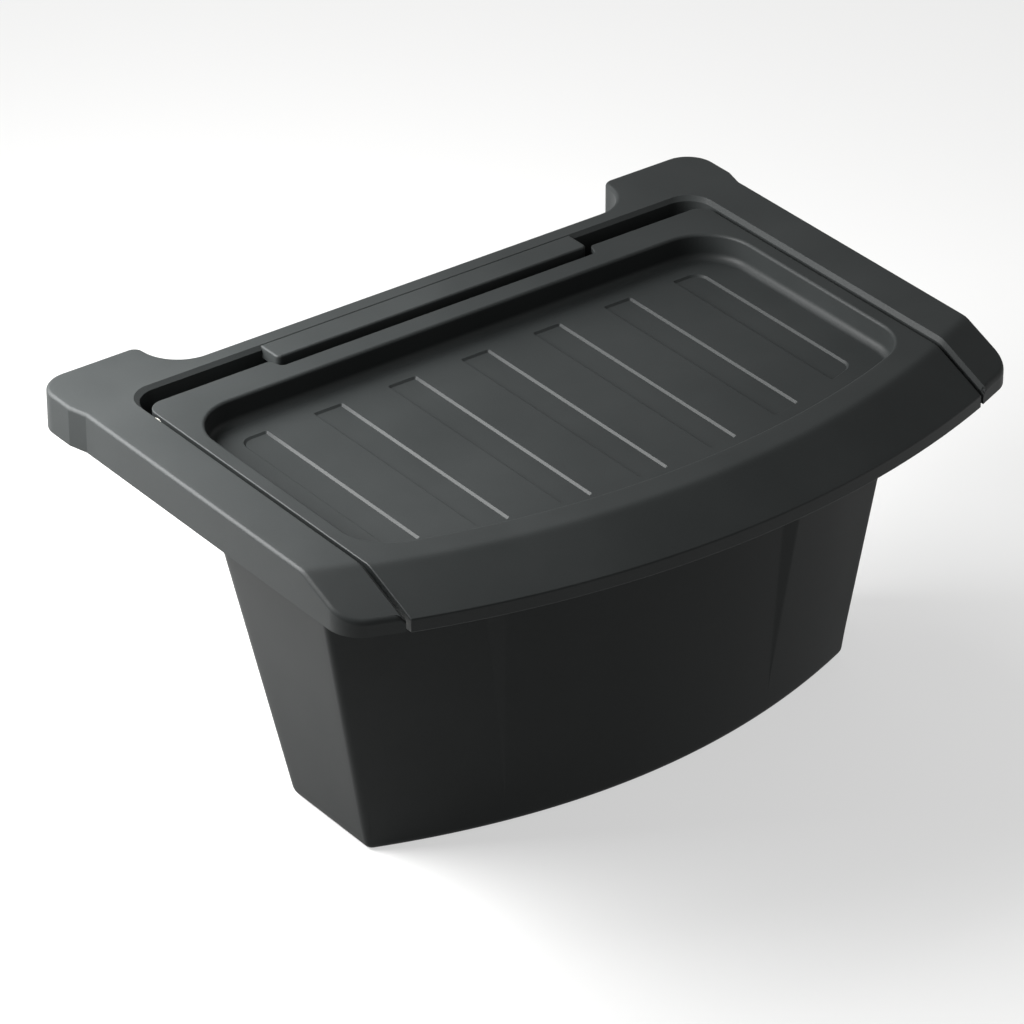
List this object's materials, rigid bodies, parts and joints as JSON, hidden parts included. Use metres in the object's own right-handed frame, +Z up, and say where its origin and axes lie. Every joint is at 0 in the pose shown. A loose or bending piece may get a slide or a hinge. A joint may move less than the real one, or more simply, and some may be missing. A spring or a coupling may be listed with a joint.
{
  "type": "waste bin",
  "caption": "Hang-in waste bin: flat rim frame with rear ears, tapered bowed bucket and a hinged lid with a grooved tray in its top.",
  "frame": {"origin": "centre of the whole bin's box, on the plane the bucket stands on", "axes": "+Z up; +X along the width, to the right as seen from the front; the front lip faces -Y and the ears face +Y"},
  "size_m": [0.45, 0.326, 0.2095],
  "materials": {
    "black_plastic": "fine-grained injection-moulded polypropylene, dark grey",
    "bucket_plastic": "fine-grained injection-moulded polypropylene, dark grey",
    "lid_plastic": "fine-grained injection-moulded polypropylene, dark grey",
    "zinc_steel": "zinc-plated steel",
    "white_nylon": "natural nylon",
    "black_rubber": "moulded black rubber"
  },
  "bodies": {
    "frame_and_bucket": {"rim_frame": "black_plastic", "bucket": "bucket_plastic", "hinge_pin_left": "zinc_steel", "rest_pad_left": "black_rubber", "lid_bumper_front_left": "black_rubber", "lid_bumper_rear_left": "black_rubber", "frame_screw_left_1": "zinc_steel", "frame_screw_left_2": "zinc_steel", "frame_screw_left_3": "zinc_steel", "frame_screw_left_4": "zinc_steel", "hinge_pin_right": "zinc_steel", "rest_pad_right": "black_rubber", "lid_bumper_front_right": "black_rubber", "lid_bumper_rear_right": "black_rubber", "frame_screw_right_1": "zinc_steel", "frame_screw_right_2": "zinc_steel", "frame_screw_right_3": "zinc_steel", "frame_screw_right_4": "zinc_steel"},
    "lid": {"lid": "lid_plastic", "hinge_bush_left": "white_nylon", "hinge_bush_right": "white_nylon"}
  },
  "joints": [
    {"name": "lid_hinge", "type": "hinge", "parent": "frame_and_bucket", "child": "lid", "pos_m": [0, 0.097, 0.2], "axis": [-1, 0, 0], "range_deg": [0, 95]}
  ]
}
